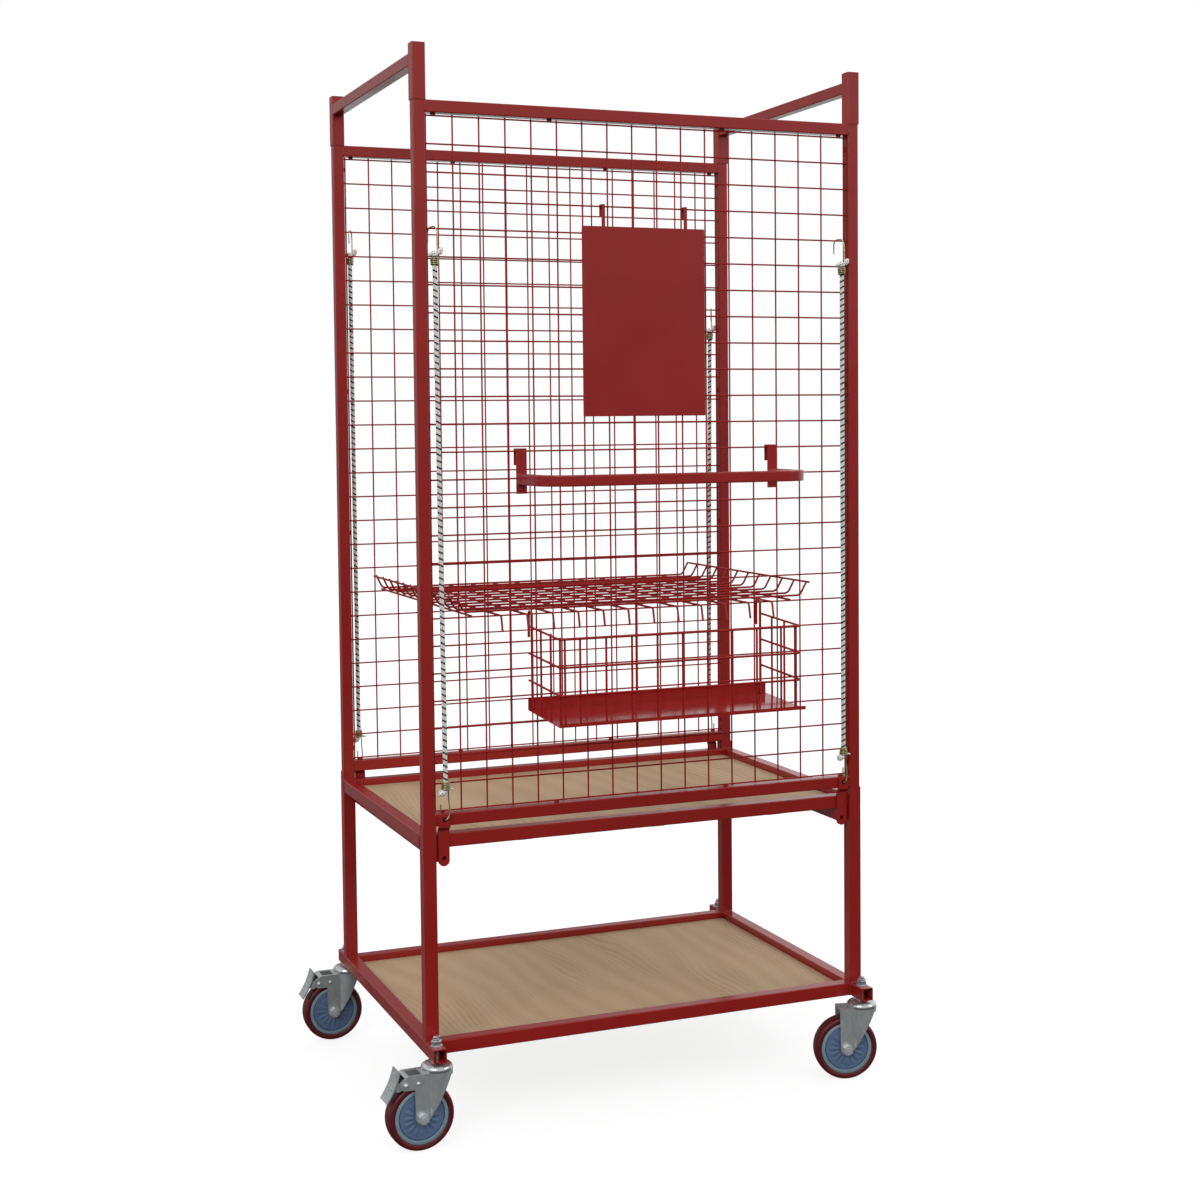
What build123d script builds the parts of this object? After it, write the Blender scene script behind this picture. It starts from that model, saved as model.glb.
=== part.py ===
from build123d import *
import os

# Mesh-sided parts trolley: a welded steel base on four swivel casters, two
# plywood decks, and a lift-off cage of two mesh panels joined by end bars.
# Millimetres, +Z up, origin on the floor at the centre of the base, front at -Y.

# ---------------------------------------------------------------- driving dimensions
LEG_X = 440.0            # leg and post centres, each side of the middle
LEG_Y = 287.5
TUBE = 25.0              # square tube of the base, legs and sleeves
TUBE_WALL = 1.2
POST = 22.0              # square tube of the lift-off panels
POST_WALL = 1.5

BASE_BOTTOM = 158.0      # underside of the base side rails
BASE_TOP = BASE_BOTTOM + TUBE
EAR = 45.0               # side rail past the front of each leg
WIRE_ZERO = 603.0        # height of the lowest mesh wire
SHELF_TOP = WIRE_ZERO - 43.0
LEG_TOP = WIRE_ZERO - 27.5
BOARD_THICK = 12.0
POST_IN_LEG = 80.0
LUG_THICK = 3.0

PITCH = 50.0             # mesh pitch, both ways
COLUMNS = 18
ROWS = 26
MESH_WIRE = 1.5          # radius
MESH_STEP = 1.6          # each layer of wires off the middle plane of the panel
PANEL_RAIL_LOW = WIRE_ZERO - 15.5
PANEL_RAIL_HIGH = WIRE_ZERO + 1265.5

SLEEVE_LOW = WIRE_ZERO + 1276.5
SLEEVE_LONG = 100.0
POST_IN_SLEEVE = 60.0
CROSSBAR_TOP = WIRE_ZERO + 1359.5

AXLE_HEIGHT = 62.5       # wheel radius
AXIS_Y = LEG_Y + TUBE / 2 + 22.0
TRAIL = 34.0
CROWN_TOP = 142.0
STEM = 6.0               # radius

STRAP_WIDE = 21.0        # straps that hold the cage to the base
STRAP_THICK = 4.0
STRAP_X = LEG_X - TUBE / 2 - 5.0 - STRAP_WIDE / 2
STRAP_HOLE_Z = WIRE_ZERO - 86.4
STRAP_HOLE = 3.75        # radius
BEARER_HOLE = 4.4        # radius, a clearance hole behind each strap hole
STRAP_END = WIRE_ZERO - 101.3

SHELF_WIRE = 2.0         # radius of the wire shelf's wires
SHELF_LIFT = WIRE_ZERO + 7 * PITCH + MESH_WIRE + SHELF_WIRE + 0.2
BASKET_WIRE = 2.0
BASKET_LEFT = -243.0
BASKET_RIGHT = 236.0
BASKET_BACK = -LEG_Y - 6.0
BASKET_FRONT = BASKET_BACK - 160.0
BASKET_RIM = WIRE_ZERO + 328.0
BASKET_FLOOR = WIRE_ZERO + 174.0
BASKET_SAG = 0.052       # fall of the wires and floor towards the front, for each unit of depth

CORNERS = [(-LEG_X, -LEG_Y), (LEG_X, -LEG_Y), (-LEG_X, LEG_Y), (LEG_X, LEG_Y)]

# corner name: (axis x, axis y, turn of the fork about the upright axis, braked)
CASTERS = {
    "front_left": (-LEG_X, -AXIS_Y, 2.0, True),
    "front_right": (LEG_X, -AXIS_Y, -15.0, False),
    "back_left": (-LEG_X, AXIS_Y, 0.0, True),
    "back_right": (LEG_X, AXIS_Y, 180.0, False),
}

os.makedirs("parts", exist_ok=True)


def save(piece, name):
    """Label a finished piece and write it as one STEP file."""
    piece.label = name
    export_step(piece, f"parts/{name}.step")


# ---------------------------------------------------------------- square tubes and wires
def square_tube(length, size=TUBE, wall=TUBE_WALL):
    """Open square tube standing on Z = 0 with lightly rounded corners."""
    with BuildPart() as tube:
        with BuildSketch():
            RectangleRounded(size, size, 1.8)
            RectangleRounded(size - 2 * wall, size - 2 * wall, 0.5, mode=Mode.SUBTRACT)
        extrude(amount=length)
    return tube.part


def tube_along(axis, length, size=TUBE, wall=TUBE_WALL):
    """Square tube centred on the origin, lying along X or Y."""
    turn = (0, 90, 0) if axis == "x" else (90, 0, 0)
    with BuildPart() as tube:
        with Locations(Location((0, 0, 0), turn)):
            with Locations((0, 0, -length / 2)):
                add(square_tube(length, size, wall))
    return tube.part


def bent_wire(points, bend, radius):
    """Round wire along straight runs joined by equal bends."""
    with BuildPart() as wire:
        with BuildLine() as path:
            FilletPolyline(*points, radius=bend)
        with BuildSketch(Plane(origin=path.line @ 0, z_dir=path.line % 0)):
            Circle(radius)
        sweep()
    return wire.part


def straight_wire(start, end, radius):
    """Round wire between two points."""
    run = Vector(*end) - Vector(*start)
    with BuildPart() as wire:
        with BuildSketch(Plane(origin=start, z_dir=run)):
            Circle(radius)
        extrude(amount=run.length)
    return wire.part


def flat_strip(points, width, thick):
    """Flat strip of even thickness bent along points in the YZ plane, centred on X = 0."""
    with BuildPart() as strip:
        with BuildSketch(Plane.YZ):
            with BuildLine() as middle:
                Polyline(*points)
            trace(middle.line, line_width=thick)
        extrude(amount=width / 2, both=True)
    return strip.part


# ---------------------------------------------------------------- base frame
with BuildPart() as base_side_rails:
    with Locations((-LEG_X, 0, BASE_TOP - TUBE / 2), (LEG_X, 0, BASE_TOP - TUBE / 2)):
        add(tube_along("y", 2 * (LEG_Y + TUBE / 2 + EAR), wall=2.0))
    with Locations([(x, y, BASE_TOP) for x in (-LEG_X, LEG_X) for y in (-AXIS_Y, AXIS_Y)]):
        Cylinder(STEM + 0.3, 3 * TUBE, mode=Mode.SUBTRACT)
save(base_side_rails.part, "base_side_rails")

with BuildPart() as base_cross_rails:
    with Locations((0, -LEG_Y, BASE_TOP - TUBE / 2), (0, LEG_Y, BASE_TOP - TUBE / 2)):
        add(tube_along("x", 2 * LEG_X - TUBE, wall=2.0))
save(base_cross_rails.part, "base_cross_rails")

with BuildPart() as legs:
    with Locations([(x, y, BASE_TOP) for x, y in CORNERS]):
        add(square_tube(LEG_TOP - BASE_TOP))
save(legs.part, "legs")

with BuildPart() as shelf_side_rails:
    with Locations((-LEG_X, 0, SHELF_TOP - TUBE / 2), (LEG_X, 0, SHELF_TOP - TUBE / 2)):
        add(tube_along("y", 2 * LEG_Y - TUBE))
save(shelf_side_rails.part, "shelf_side_rails")

# the front and back rails of the shelf sit 9 mm inside the faces of the legs
SHELF_RAIL_Y = LEG_Y - 9.0
with BuildPart() as shelf_cross_rails:
    with Locations((0, -SHELF_RAIL_Y, SHELF_TOP - TUBE / 2), (0, SHELF_RAIL_Y, SHELF_TOP - TUBE / 2)):
        add(tube_along("x", 2 * LEG_X - TUBE))
save(shelf_cross_rails.part, "shelf_cross_rails")

# closed bearers run front to back under the cross rails, drilled behind the holes in the straps
with BuildPart() as shelf_bearers:
    with Locations([(side * (LEG_X - TUBE), 0, SHELF_TOP - 1.5 * TUBE) for side in (-1, 1)]):
        add(tube_along("y", 2 * SHELF_RAIL_Y + TUBE))
    cap_x = LEG_X - TUBE
    cap_y = SHELF_RAIL_Y + TUBE / 2 - 1.0
    with Locations([(x, y, SHELF_TOP - 1.5 * TUBE) for x in (-cap_x, cap_x) for y in (-cap_y, cap_y)]):
        Box(TUBE - TUBE_WALL, 2.0, TUBE - TUBE_WALL)
    for x in (-STRAP_X, STRAP_X):
        with Locations(Location((x, 0, STRAP_HOLE_Z), (90, 0, 0))):
            Cylinder(BEARER_HOLE, 3 * LEG_Y, mode=Mode.SUBTRACT)
save(shelf_bearers.part, "shelf_bearers")

# small plates close each leg under the foot of the post that stands in it
with BuildPart() as post_stops:
    with Locations([(x, y, LEG_TOP - POST_IN_LEG - LUG_THICK / 2) for x, y in CORNERS]):
        Box(TUBE - 2 * TUBE_WALL - 0.5, TUBE - 2 * TUBE_WALL - 0.5, LUG_THICK)
save(post_stops.part, "post_stops")


# ---------------------------------------------------------------- plywood decks and their lugs
def deck(width, depth, top):
    """Plywood deck with slightly eased edges, its top at the height given."""
    with BuildPart() as board:
        with Locations((0, 0, top - BOARD_THICK / 2)):
            Box(width, depth, BOARD_THICK)
        fillet(board.edges().filter_by(Axis.Z), 3.0)
        chamfer(board.edges().group_by(Axis.Z)[-1], 0.5)
    return board.part


BASE_DECK_TOP = BASE_TOP - TUBE + BOARD_THICK
SHELF_DECK_TOP = SHELF_TOP - TUBE + BOARD_THICK
DECK_WIDTH = 2 * LEG_X - TUBE - 2.0
save(deck(DECK_WIDTH, 2 * LEG_Y - TUBE - 2.0, BASE_DECK_TOP), "base_deck")
save(deck(DECK_WIDTH, 2 * SHELF_RAIL_Y - TUBE - 2.0, SHELF_DECK_TOP), "shelf_deck")

# each lug is a small plate welded under a cross rail, reaching in under the deck
LUG = 34.0
with BuildPart() as deck_lugs:
    for rail_y, low in ((LEG_Y, BASE_TOP - TUBE), (SHELF_RAIL_Y, SHELF_TOP - TUBE)):
        for side in (-1, 1):
            lug_y = side * (rail_y - TUBE / 2 - 4)
            with Locations([(x, lug_y, low - LUG_THICK / 2) for x in (-250, 20, 270)]):
                Box(28, LUG, LUG_THICK)
save(deck_lugs.part, "deck_lugs")


# ---------------------------------------------------------------- casters
def caster_stem():
    """Threaded stem with its domed upper raceway and the rivet head under the crown."""
    with BuildPart() as stem:
        with BuildSketch(Plane.XZ):
            with BuildLine():
                Polyline((0, 128), (11, 128), (11, 131), (STEM, 133), (STEM, CROWN_TOP + 0.4))
                Polyline((STEM, CROWN_TOP + 0.4), (29.4, CROWN_TOP + 0.4), (29.4, CROWN_TOP + 3.5))
                ThreePointArc((29.4, CROWN_TOP + 3.5), (26.5, CROWN_TOP + 9.5), (19, BASE_BOTTOM - 4.5))
                Polyline((19, BASE_BOTTOM - 4.5), (10.5, BASE_BOTTOM - 3.2), (10.5, BASE_BOTTOM),
                         (STEM, BASE_BOTTOM))
                Polyline((STEM, BASE_BOTTOM), (STEM, BASE_TOP + 16.5), (STEM - 2, BASE_TOP + 18.5))
                Polyline((STEM - 2, BASE_TOP + 18.5), (0, BASE_TOP + 18.5), (0, 128))
            make_face()
        revolve(axis=Axis.Z)
    return stem.part


with BuildPart() as caster_stems:
    with Locations([(x, y, 0) for x, y, turn, braked in CASTERS.values()]):
        add(caster_stem())
save(caster_stems.part, "caster_stems")


def stem_fastener():
    """Flat washer under a domed lock nut, standing on Z = 0."""
    with BuildPart() as fastener:
        Cylinder(11.5, 2.0, align=(Align.CENTER, Align.CENTER, Align.MIN))
        with BuildSketch(Plane.XY.offset(2.0)):
            RegularPolygon(9.0, 6, major_radius=False)
        extrude(amount=9.0)
        chamfer(fastener.edges().group_by(Axis.Z)[-1], 1.2)
        with Locations((0, 0, 11.0)):
            Cylinder(7.6, 2.5, align=(Align.CENTER, Align.CENTER, Align.MIN))
        Cylinder(STEM + 0.05, 40.0, mode=Mode.SUBTRACT)
    return fastener.part


with BuildPart() as stem_nuts:
    with Locations([(x, y, BASE_TOP) for x, y, turn, braked in CASTERS.values()]):
        add(stem_fastener())
save(stem_nuts.part, "stem_nuts")

FORK_OUT = 21.0          # half width over the fork's legs
FORK_WALL = 3.0
CROWN = 29.0             # radius of the round crown
FORK_BACK = -48.5        # back edge of the fork's legs
FORK_FRONT = 20.0        # front edge of the legs where they leave the crown
CROWN_DEEP = 8.0
PIVOT = (-66.0, 127.0)   # brake pedal pivot, in the caster's own X and Z


def fork(braked):
    """Pressed fork, its round crown on the swivel axis and its legs trailing towards -X."""
    back = -80.0 if braked else FORK_BACK
    with BuildPart() as body:
        with BuildSketch(Plane.XY.offset(40)):
            Circle(CROWN)
            with Locations((back / 2, 0)):
                Rectangle(-back, 2 * FORK_OUT)
        extrude(amount=CROWN_TOP - 40)
        with BuildSketch(Plane.XY.offset(39)):
            Circle(CROWN - FORK_WALL)
            with Locations((-50, 0)):
                Rectangle(100, 2 * (FORK_OUT - FORK_WALL))
        extrude(amount=CROWN_TOP - FORK_WALL - 39, mode=Mode.SUBTRACT)
        with BuildSketch(Plane.XZ):
            with Locations((-TRAIL, AXLE_HEIGHT)):
                Circle(13)
            with Locations(((FORK_BACK + FORK_FRONT) / 2, CROWN_TOP - CROWN_DEEP / 2)):
                Rectangle(FORK_FRONT - FORK_BACK, CROWN_DEEP)
            make_hull()
            with Locations((0, CROWN_TOP - CROWN_DEEP / 2)):
                Rectangle(2 * CROWN, CROWN_DEEP)
            if braked:
                with BuildLine():
                    Polyline((-40, CROWN_TOP), (-62, CROWN_TOP), (-76, 133), (-76, 121), (-68, 116.5),
                             (-48, 116.5), (-40, 112), (-40, CROWN_TOP))
                make_face()
        extrude(amount=60, both=True, mode=Mode.INTERSECT)
        if braked:
            with Locations((-46, 0, CROWN_TOP)):
                Box(24, 2 * (FORK_OUT - FORK_WALL) - 4, 3 * FORK_WALL, mode=Mode.SUBTRACT)
            with Locations(Location((PIVOT[0], 0, PIVOT[1]), (90, 0, 0))):
                Cylinder(3.3, 100, mode=Mode.SUBTRACT)
        Cylinder(STEM + 0.05, 400, mode=Mode.SUBTRACT)
        with Locations(Location((-TRAIL, 0, AXLE_HEIGHT), (90, 0, 0))):
            Cylinder(5.2, 100, mode=Mode.SUBTRACT)
    return body.part


def axle(braked):
    """Axle bolt with its head and nut, and on a braked caster the two brake rivets."""
    with BuildPart() as bolt:
        with Locations(Location((-TRAIL, 0, AXLE_HEIGHT), (90, 0, 0))):
            Cylinder(5.0, 2 * FORK_OUT + 18)
        for side, size, thick in ((-1, 8.5, 8.0), (1, 8.5, 6.0)):
            with BuildSketch(Plane(origin=(-TRAIL, side * FORK_OUT, AXLE_HEIGHT), z_dir=(0, side, 0))):
                RegularPolygon(size, 6, major_radius=False)
            extrude(amount=thick)
        if braked:
            with Locations(Location((PIVOT[0], 0, PIVOT[1]), (90, 0, 0))):
                Cylinder(3.0, 2 * FORK_OUT + 3)
            for side in (-1, 1):
                with Locations((PIVOT[0], side * (FORK_OUT + 1), PIVOT[1])):
                    Sphere(4.0)
                with Locations((PIVOT[0] + 24, side * FORK_OUT, PIVOT[1])):
                    Sphere(3.6)
            with Locations((-50, 0, 110)):
                Box(60, 2 * FORK_OUT, 60, mode=Mode.SUBTRACT)
            with Locations(Location((PIVOT[0], 0, PIVOT[1]), (90, 0, 0))):
                Cylinder(3.0, 2 * FORK_OUT + 3)
    return bolt.part


def wheel_ring(profile):
    """Body of revolution about the axle, from a profile of radius and half-width points."""
    with BuildPart() as ring:
        with BuildSketch(Plane.XY):
            with BuildLine():
                Polyline(*profile, close=True)
            make_face()
        revolve(axis=Axis.Y)
    return ring.part


def mirrored(half):
    """Profile points of one half of the width, followed by their mirror image."""
    return half + [(r, -y) for r, y in reversed(half)]


HUB = mirrored([(5.08, 17.4), (10.0, 17.4), (12.0, 14.6), (41.8, 13.2), (42.4, 11.5), (43.4, 11.5),
                (43.8, 14.6), (50.2, 14.6)])
TREAD = mirrored([(50.3, 14.4), (52.0, 15.4), (57.0, 16.0), (60.2, 14.6), (62.0, 11.6), (62.5, 7.5)])


def pedal():
    """Curved brake pedal plate with two cheeks on the pivot."""
    with BuildPart() as plate:
        with BuildSketch(Plane.XZ):
            with BuildLine() as curve:
                ThreePointArc((-76, 151), (-85.5, 123), (-101, 97))
            trace(curve.line, line_width=2.6)
        extrude(amount=19, both=True)
        with BuildSketch(Plane.XZ):
            with BuildLine():
                Polyline((-60, 132), (-60, 122), (-78, 115), (-84, 117), (-79, 131), (-60, 132))
            make_face()
        extrude(amount=17.2, both=True)
        with Locations((-68, 0, 124)):
            Box(22.5, 29.0, 40.0, mode=Mode.SUBTRACT)
        for rib_x, rib_z in ((-88.4, 120.5), (-93.6, 110.0)):
            with Locations(Location((rib_x, 0, rib_z), (90, 0, 0))):
                Cylinder(2.0, 26)
        with Locations(Location((PIVOT[0], 0, PIVOT[1]), (90, 0, 0))):
            Cylinder(3.06, 100, mode=Mode.SUBTRACT)
    return plate.part


def brake_shoe():
    """Moulded block between the pedal's cheeks, its lower face over the tread."""
    with BuildPart() as shoe:
        with BuildSketch(Plane.XZ):
            with BuildLine():
                Polyline((-57.5, 134), (-57.5, 122.6), (-70, 116.4), (-79, 110), (-79.1, 126),
                         (-76, 134), (-57.5, 134))
            make_face()
        extrude(amount=14.3, both=True)
        with Locations(Location((-TRAIL, 0, AXLE_HEIGHT), (90, 0, 0))):
            Cylinder(AXLE_HEIGHT + 1.6, 60, mode=Mode.SUBTRACT)
        with Locations(Location((PIVOT[0], 0, PIVOT[1]), (90, 0, 0))):
            Cylinder(3.06, 100, mode=Mode.SUBTRACT)
    return shoe.part


def place(shape, x, y, turn, at_axle=False):
    """One caster piece set on its swivel axis, a wheel piece first set on its axle."""
    with BuildPart() as placed:
        with Locations(Location((x, y, 0), (0, 0, turn))):
            with Locations((-TRAIL, 0, AXLE_HEIGHT) if at_axle else (0, 0, 0)):
                add(shape)
    return placed.part


hub_shape = wheel_ring(HUB)
tread_shape = wheel_ring(TREAD)
for corner, (x, y, turn, braked) in CASTERS.items():
    save(place(fork(braked), x, y, turn), f"{corner}_fork")
    save(place(axle(braked), x, y, turn), f"{corner}_axle")
    save(place(hub_shape, x, y, turn, at_axle=True), f"{corner}_hub")
    save(place(tread_shape, x, y, turn, at_axle=True), f"{corner}_tread")
    if braked:
        save(place(pedal(), x, y, turn), f"{corner}_pedal")
        save(place(brake_shoe(), x, y, turn), f"{corner}_brake_shoe")


# ---------------------------------------------------------------- lift-off mesh panels
HOOK_HOLE_Z = WIRE_ZERO - 15.0
HOOK_HOLE = 4.2          # radius
HOOK_TIP_Y = LEG_Y + 5.2 # lower hooks come up through the rail in front of the mesh


def panel_posts(side):
    with BuildPart() as posts:
        low = LEG_TOP - POST_IN_LEG
        with Locations((-LEG_X, side * LEG_Y, low), (LEG_X, side * LEG_Y, low)):
            add(square_tube(SLEEVE_LOW + POST_IN_SLEEVE - low, POST, POST_WALL))
    return posts.part


def panel_rails(side):
    """Top and bottom rails; the bottom one is drilled where the lower cord hooks go in."""
    with BuildPart() as rails:
        with Locations((0, side * LEG_Y, PANEL_RAIL_LOW), (0, side * LEG_Y, PANEL_RAIL_HIGH)):
            add(tube_along("x", 2 * LEG_X - POST, POST, POST_WALL))
        for x in (-STRAP_X, STRAP_X):
            with Locations(Location((x, side * (LEG_Y + POST / 2), HOOK_HOLE_Z), (90, 0, 0))):
                Cylinder(HOOK_HOLE, 8, mode=Mode.SUBTRACT)
            with Locations((x + (4.5 if x > 0 else -4.5), side * HOOK_TIP_Y, PANEL_RAIL_LOW + POST / 2)):
                Cylinder(2.4, 8, mode=Mode.SUBTRACT)
    return rails.part


def panel_mesh(side):
    """Upright wires on the inner side, level wires on the outer side, and the weld tabs."""
    middle = WIRE_ZERO + (ROWS - 1) * PITCH / 2
    tall = (ROWS - 1) * PITCH + 6
    wide = (COLUMNS - 1) * PITCH + 6
    with BuildPart() as mesh:
        with Locations((0, side * (LEG_Y - MESH_STEP), middle)):
            with GridLocations(PITCH, 1, COLUMNS, 1):
                Cylinder(MESH_WIRE, tall)
        with Locations(Location((0, side * (LEG_Y + MESH_STEP), middle), (0, 90, 0))):
            with GridLocations(PITCH, 1, ROWS, 1):
                Cylinder(MESH_WIRE, wide)
        for x in (-412, -190, 160, 412):
            for z in (WIRE_ZERO - 3.1, WIRE_ZERO + 1253.1):
                with Locations((x, side * (LEG_Y + MESH_STEP), z)):
                    Box(9, 2.4, 2.8)
        for z in (22, 475, 770, 1228):
            for x in (-427.8, 427.8):
                with Locations((x, side * (LEG_Y - MESH_STEP), WIRE_ZERO + z)):
                    Box(2.4, 2.4, 9)
    return mesh.part


def panel_strap():
    """Joggled flat strap with a round foot, for the front left corner of the cage."""
    face = -LEG_Y - POST / 2 - STRAP_THICK / 2
    inner = -SHELF_RAIL_Y - TUBE / 2 - STRAP_THICK / 2 - 0.3
    top = WIRE_ZERO - 5.5
    low = PANEL_RAIL_LOW - POST / 2
    foot = STRAP_END + STRAP_WIDE / 2
    profile = [(face, top), (face, low - 1), (inner, low - 8), (inner, STRAP_END)]
    with BuildPart() as strap:
        add(flat_strip(profile, STRAP_WIDE, STRAP_THICK))
        with BuildSketch(Plane.XZ.offset(LEG_Y - 40)):
            with Locations((0, foot)):
                Circle(STRAP_WIDE / 2)
            with Locations((0, (top + foot) / 2)):
                Rectangle(STRAP_WIDE, top - foot)
        extrude(amount=80, mode=Mode.INTERSECT)
        with Locations(Location((0, inner, STRAP_HOLE_Z), (90, 0, 0))):
            Cylinder(STRAP_HOLE, 20, mode=Mode.SUBTRACT)
        with Locations(Location((0, face, HOOK_HOLE_Z), (90, 0, 0))):
            Cylinder(HOOK_HOLE, 20, mode=Mode.SUBTRACT)
    return strap.part


def panel_straps(side):
    with BuildPart() as straps:
        turn = 0 if side < 0 else 180
        with Locations(Location((0, 0, 0), (0, 0, turn))):
            with Locations((-STRAP_X, 0, 0), (STRAP_X, 0, 0)):
                add(panel_strap())
    return straps.part


for name, side in (("front", -1), ("back", 1)):
    save(panel_posts(side), f"{name}_panel_posts")
    save(panel_rails(side), f"{name}_panel_rails")
    save(panel_mesh(side), f"{name}_panel_mesh")
    save(panel_straps(side), f"{name}_panel_straps")


# ---------------------------------------------------------------- end bars over the post tops
def end_bar(side):
    with BuildPart() as bar:
        with Locations((side * LEG_X, -LEG_Y, SLEEVE_LOW), (side * LEG_X, LEG_Y, SLEEVE_LOW)):
            add(square_tube(SLEEVE_LONG))
        cap = SLEEVE_LOW + SLEEVE_LONG - 1.5
        with Locations((side * LEG_X, -LEG_Y, cap), (side * LEG_X, LEG_Y, cap)):
            Box(TUBE - 2, TUBE - 2, 3.0)
        with Locations((side * (LEG_X + (TUBE - POST) / 2), 0, CROSSBAR_TOP - POST / 2)):
            add(tube_along("y", 2 * LEG_Y - TUBE, POST, POST_WALL))
    return bar.part


save(end_bar(-1), "left_end_bar")
save(end_bar(1), "right_end_bar")

# ---------------------------------------------------------------- notice board
BOARD_LEFT = -131.0
BOARD_RIGHT = 118.0
BOARD_LOW = WIRE_ZERO + 712.0
BOARD_HIGH = WIRE_ZERO + 1063.0
BOARD_Y = -LEG_Y - 8.5
with BuildPart() as board_plate:
    with Locations(((BOARD_LEFT + BOARD_RIGHT) / 2, BOARD_Y, (BOARD_LOW + BOARD_HIGH) / 2)):
        Box(BOARD_RIGHT - BOARD_LEFT, 1.5, BOARD_HIGH - BOARD_LOW)
    fillet(board_plate.edges().filter_by(Axis.Y), 2.0)
save(board_plate.part, "board_plate")

HOOK_WIRE_Z = WIRE_ZERO + 22 * PITCH
board_hook = [(BOARD_Y + 1.9, BOARD_HIGH - 40), (BOARD_Y + 1.9, HOOK_WIRE_Z + 2.9),
              (-LEG_Y + 4.5, HOOK_WIRE_Z + 2.9), (-LEG_Y + 4.5, HOOK_WIRE_Z - 18)]
with BuildPart() as board_hooks:
    with Locations((-87, 0, 0), (80.2, 0, 0)):
        add(flat_strip(board_hook, 6.5, 2.0))
save(board_hooks.part, "board_hooks")

# ---------------------------------------------------------------- hanger bar
HANGER_LEFT = -254.0
HANGER_RIGHT = 261.0
HANGER_Z = WIRE_ZERO + 598.5
HANGER_TUBE = 20.0
HANGER_BACK = -LEG_Y - 9.0
HANGER_FRONT = -LEG_Y - 150.0
HANGER_BEND = 50.0
with BuildPart() as hanger_tube:
    with BuildLine() as hanger_path:
        FilletPolyline((HANGER_LEFT, HANGER_BACK, HANGER_Z), (HANGER_LEFT, HANGER_FRONT, HANGER_Z),
                       (HANGER_RIGHT, HANGER_FRONT, HANGER_Z), (HANGER_RIGHT, HANGER_BACK, HANGER_Z),
                       radius=HANGER_BEND)
    with BuildSketch(Plane(origin=hanger_path.line @ 0, x_dir=(1, 0, 0), z_dir=hanger_path.line % 0)):
        RectangleRounded(HANGER_TUBE, HANGER_TUBE, 2.5)
        RectangleRounded(HANGER_TUBE - 3, HANGER_TUBE - 3, 1.2, mode=Mode.SUBTRACT)
    sweep()
save(hanger_tube.part, "hanger_tube")

BRACKET_WIRE_Z = WIRE_ZERO + 13 * PITCH
bracket = [(HANGER_BACK + 1.7, BRACKET_WIRE_Z - 78), (HANGER_BACK + 1.7, BRACKET_WIRE_Z + 3.4),
           (-LEG_Y + 5.0, BRACKET_WIRE_Z + 3.4), (-LEG_Y + 5.0, BRACKET_WIRE_Z - 26)]
with BuildPart() as hanger_brackets:
    with Locations((HANGER_LEFT, 0, 0), (HANGER_RIGHT, 0, 0)):
        add(flat_strip(bracket, 20.0, 3.0))
save(hanger_brackets.part, "hanger_brackets")

# ---------------------------------------------------------------- basket
BASKET_MIDDLE = (BASKET_LEFT + BASKET_RIGHT) / 2
BASKET_WIDE = BASKET_RIGHT - BASKET_LEFT
UPRIGHT_GAP = 2 * BASKET_WIRE + 0.2
CORNER_UPRIGHT = 10.5    # from the side of the basket to the end uprights of the front


def sag(y):
    """How far the basket has dropped at this depth."""
    return (BASKET_BACK - y) * BASKET_SAG


def basket_uprights(y):
    """Height of the middle and length of the uprights that stand at this depth."""
    length = BASKET_RIM + BASKET_WIRE - BASKET_FLOOR
    return BASKET_FLOOR - sag(y) + length / 2, length


with BuildPart() as basket_wires:
    front_drop = sag(BASKET_FRONT)
    for height in (BASKET_RIM, BASKET_RIM - PITCH, BASKET_RIM - 2 * PITCH):
        front = height - front_drop
        add(bent_wire([(BASKET_LEFT, BASKET_BACK, height), (BASKET_LEFT, BASKET_FRONT, front),
                       (BASKET_RIGHT, BASKET_FRONT, front), (BASKET_RIGHT, BASKET_BACK, height)],
                      8.0, BASKET_WIRE))
    front_y = BASKET_FRONT + UPRIGHT_GAP
    middle, length = basket_uprights(front_y)
    with Locations((BASKET_MIDDLE, front_y, middle)):
        with GridLocations(PITCH, 1, 9, 1):
            Cylinder(BASKET_WIRE, length)
        with GridLocations(BASKET_WIDE - 2 * CORNER_UPRIGHT, 1, 2, 1):
            Cylinder(BASKET_WIRE, length)
    for depth in (12.0, 58.0, 108.0):
        side_y = BASKET_FRONT + depth
        middle, length = basket_uprights(side_y)
        with Locations((BASKET_MIDDLE, side_y, middle)):
            with GridLocations(BASKET_WIDE - 2 * UPRIGHT_GAP, 1, 2, 1):
                Cylinder(BASKET_WIRE, length)
save(basket_wires.part, "basket_wires")

pan_front = BASKET_FRONT - BASKET_WIRE
pan_back = BASKET_BACK - 0.8
pan_low = BASKET_FLOOR - sag(pan_front)
basket_pan = [(pan_back, BASKET_FLOOR + 22), (pan_back, BASKET_FLOOR - 0.8),
              (pan_front, pan_low - 0.8), (pan_front, pan_low + 5)]
PAN_LEFT = BASKET_LEFT - 3.0
PAN_RIGHT = BASKET_RIGHT + 8.0
with BuildPart() as basket_floor:
    with Locations(((PAN_LEFT + PAN_RIGHT) / 2, 0, 0)):
        add(flat_strip(basket_pan, PAN_RIGHT - PAN_LEFT, 1.5))
save(basket_floor.part, "basket_floor")

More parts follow.
